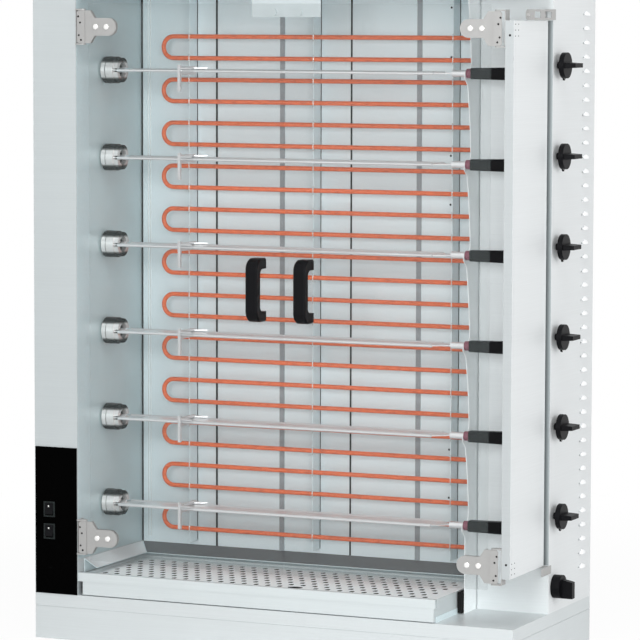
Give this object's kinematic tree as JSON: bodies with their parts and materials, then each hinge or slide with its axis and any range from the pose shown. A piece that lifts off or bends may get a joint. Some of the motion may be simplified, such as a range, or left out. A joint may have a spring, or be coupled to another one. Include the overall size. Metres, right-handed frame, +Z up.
{
  "type": "chicken rotisserie",
  "caption": "Tall electric wall rotisserie with stacked flat spits, glass doors, a swinging side wing, drip drawer and knobs.",
  "frame": {"origin": "middle of the base's underside, on the floor", "axes": "+X to the right seen from the doors, +Y to the back, +Z up"},
  "size_m": [1.1645, 0.513, 1.505],
  "materials": {
    "cabinet_steel": "satin sheet",
    "wing_steel": "pale satin sheet",
    "lining_steel": "satin lining sheet",
    "bright_steel": "polished steel",
    "gloss_black": "gloss black",
    "black_plastic": "fine matt black",
    "hot_element": "glowing sheath",
    "door_glass": "clear toughened glass",
    "bush_bronze": "oiled bronze",
    "motor_grey": "cast, unpainted",
    "chain_steel": "oiled steel"
  },
  "bodies": {
    "cabinet": {"base_plinth": "cabinet_steel", "left_pillar": "cabinet_steel", "control_panel": "gloss_black", "top_casing": "cabinet_steel", "back_panels": "lining_steel", "right_wall": "lining_steel", "switch_box": "cabinet_steel", "side_panel": "wing_steel", "rear_panel": "cabinet_steel", "heating_elements": "hot_element", "element_supports": "lining_steel", "drip_deflectors": "lining_steel", "drawer_runners": "lining_steel", "drive_bushes": "bush_bronze", "gear_motor": "motor_grey", "drive_chain": "chain_steel", "door_catch_bracket": "lining_steel", "left_hinge_brackets": "bright_steel", "wing_brackets": "bright_steel", "heat_regulators": "black_plastic", "switch_housings": "black_plastic"},
    "spit_set_1": {"chuck_1": "bright_steel", "spit_1": "bright_steel", "spit_handle_1": "black_plastic"},
    "spit_set_2": {"chuck_2": "bright_steel", "spit_2": "bright_steel", "spit_handle_2": "black_plastic"},
    "spit_set_3": {"chuck_3": "bright_steel", "spit_3": "bright_steel", "spit_handle_3": "black_plastic"},
    "spit_set_4": {"chuck_4": "bright_steel", "spit_4": "bright_steel", "spit_handle_4": "black_plastic"},
    "spit_set_5": {"chuck_5": "bright_steel", "spit_5": "bright_steel", "spit_handle_5": "black_plastic"},
    "spit_set_6": {"chuck_6": "bright_steel", "spit_6": "bright_steel", "spit_handle_6": "black_plastic"},
    "motor_output": {"motor_sprocket": "chain_steel"},
    "left_door": {"left_door_glass": "door_glass", "left_hinge_plates": "bright_steel", "left_door_handle": "black_plastic"},
    "wing": {"wing_panel": "wing_steel", "right_hinge_brackets": "bright_steel"},
    "right_door": {"right_door_glass": "door_glass", "right_hinge_plates": "bright_steel", "right_door_handle": "black_plastic"},
    "drip_tray": {"drip_drawer": "cabinet_steel", "drip_grid": "lining_steel"},
    "heat_knob_1": {"knob_1": "black_plastic"},
    "heat_knob_2": {"knob_2": "black_plastic"},
    "heat_knob_3": {"knob_3": "black_plastic"},
    "heat_knob_4": {"knob_4": "black_plastic"},
    "heat_knob_5": {"knob_5": "black_plastic"},
    "heat_knob_6": {"knob_6": "black_plastic"},
    "main_switch_knob": {"main_switch": "black_plastic"},
    "rocker_1_key": {"rocker_1": "black_plastic"},
    "rocker_2_key": {"rocker_2": "black_plastic"}
  },
  "joints": [
    {"name": "spit_1_spin", "type": "hinge", "parent": "cabinet", "child": "spit_set_1", "pos_m": [0.3935, -0.099, 1.239], "axis": [1, 0, 0], "continuous": true},
    {"name": "spit_2_spin", "type": "hinge", "parent": "cabinet", "child": "spit_set_2", "pos_m": [0.3935, -0.099, 1.049], "axis": [1, 0, 0], "continuous": true},
    {"name": "spit_3_spin", "type": "hinge", "parent": "cabinet", "child": "spit_set_3", "pos_m": [0.3935, -0.099, 0.859], "axis": [1, 0, 0], "continuous": true},
    {"name": "spit_4_spin", "type": "hinge", "parent": "cabinet", "child": "spit_set_4", "pos_m": [0.3935, -0.099, 0.669], "axis": [1, 0, 0], "continuous": true},
    {"name": "spit_5_spin", "type": "hinge", "parent": "cabinet", "child": "spit_set_5", "pos_m": [0.3935, -0.099, 0.479], "axis": [1, 0, 0], "continuous": true},
    {"name": "spit_6_spin", "type": "hinge", "parent": "cabinet", "child": "spit_set_6", "pos_m": [0.3935, -0.099, 0.289], "axis": [1, 0, 0], "continuous": true},
    {"name": "motor_spin", "type": "hinge", "parent": "cabinet", "child": "motor_output", "pos_m": [-0.4985, -0.099, 0.175], "axis": [1, 0, 0], "continuous": true},
    {"name": "left_door_swing", "type": "hinge", "parent": "cabinet", "child": "left_door", "pos_m": [-0.439, -0.23, 0.78075], "axis": [0, 0, -1], "range_deg": [0, 120]},
    {"name": "wing_swing", "type": "hinge", "parent": "cabinet", "child": "wing", "pos_m": [0.5415, -0.0345, 0.78075], "axis": [0, 0, 1], "range_deg": [0, 80]},
    {"name": "right_door_swing", "type": "hinge", "parent": "wing", "child": "right_door", "pos_m": [0.5145, -0.23, 0.78075], "axis": [0, 0, 1], "range_deg": [0, 120]},
    {"name": "drip_drawer_slide", "type": "slide", "parent": "cabinet", "child": "drip_tray", "axis": [0, -1, 0], "range_m": [0, 0.28]},
    {"name": "knob_1_turn", "type": "hinge", "parent": "cabinet", "child": "heat_knob_1", "pos_m": [0.5585, 0.003, 1.256], "axis": [1, 0, 0], "range_deg": [0, 270]},
    {"name": "knob_2_turn", "type": "hinge", "parent": "cabinet", "child": "heat_knob_2", "pos_m": [0.5585, 0.003, 1.066], "axis": [1, 0, 0], "range_deg": [0, 270]},
    {"name": "knob_3_turn", "type": "hinge", "parent": "cabinet", "child": "heat_knob_3", "pos_m": [0.5585, 0.003, 0.876], "axis": [1, 0, 0], "range_deg": [0, 270]},
    {"name": "knob_4_turn", "type": "hinge", "parent": "cabinet", "child": "heat_knob_4", "pos_m": [0.5585, 0.003, 0.686], "axis": [1, 0, 0], "range_deg": [0, 270]},
    {"name": "knob_5_turn", "type": "hinge", "parent": "cabinet", "child": "heat_knob_5", "pos_m": [0.5585, 0.003, 0.496], "axis": [1, 0, 0], "range_deg": [0, 270]},
    {"name": "knob_6_turn", "type": "hinge", "parent": "cabinet", "child": "heat_knob_6", "pos_m": [0.5585, 0.003, 0.306], "axis": [1, 0, 0], "range_deg": [0, 270]},
    {"name": "main_switch_turn", "type": "hinge", "parent": "cabinet", "child": "main_switch_knob", "pos_m": [0.5585, 0.008, 0.155], "axis": [1, 0, 0], "range_deg": [0, 90]},
    {"name": "rocker_1_tilt", "type": "hinge", "parent": "cabinet", "child": "rocker_1_key", "pos_m": [-0.5219, -0.23, 0.2854], "axis": [1, 0, 0], "range_deg": [0, 14]},
    {"name": "rocker_2_tilt", "type": "hinge", "parent": "cabinet", "child": "rocker_2_key", "pos_m": [-0.5219, -0.23, 0.237], "axis": [1, 0, 0], "range_deg": [0, 14]}
  ],
  "couplings": [
    {"joint": "spit_2_spin", "follows": "spit_1_spin", "ratio": 1},
    {"joint": "spit_3_spin", "follows": "spit_1_spin", "ratio": 1},
    {"joint": "spit_4_spin", "follows": "spit_1_spin", "ratio": 1},
    {"joint": "spit_5_spin", "follows": "spit_1_spin", "ratio": 1},
    {"joint": "spit_6_spin", "follows": "spit_1_spin", "ratio": 1},
    {"joint": "motor_spin", "follows": "spit_1_spin", "ratio": 1}
  ]
}
